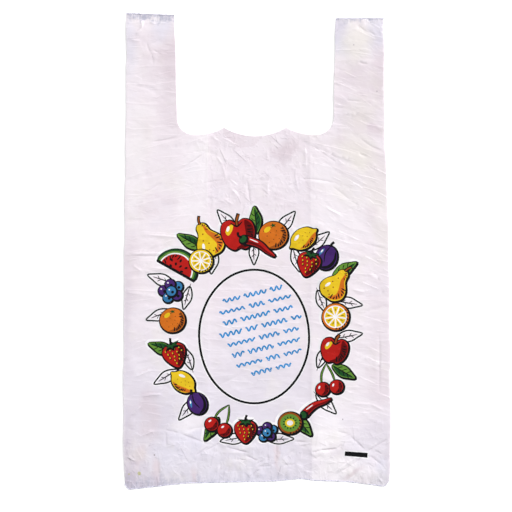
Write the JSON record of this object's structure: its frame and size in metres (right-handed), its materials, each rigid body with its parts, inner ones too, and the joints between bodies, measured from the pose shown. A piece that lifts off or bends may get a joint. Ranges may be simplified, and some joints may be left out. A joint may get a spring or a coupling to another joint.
{
  "type": "plastic carrier bag",
  "caption": "Flat, empty vest-style carrier bag of thin translucent film, with side gussets, a welded base and welded handles cut from the body.",
  "frame": {"origin": "middle of the bag's footprint, on the surface that its back lies on", "axes": "+Y from the base seal to the handles, +X across the bag to the right of its front, +Z out of the front"},
  "size_m": [0.3, 0.55, 0.0036],
  "materials": {
    "film": "translucent white film with a faint lilac cast, soft gloss and fine crinkles",
    "print": "flexographic ink in flat fields of several colours, with black outlines"
  },
  "bodies": {
    "root": {"bag": "film"}
  },
  "joints": []
}
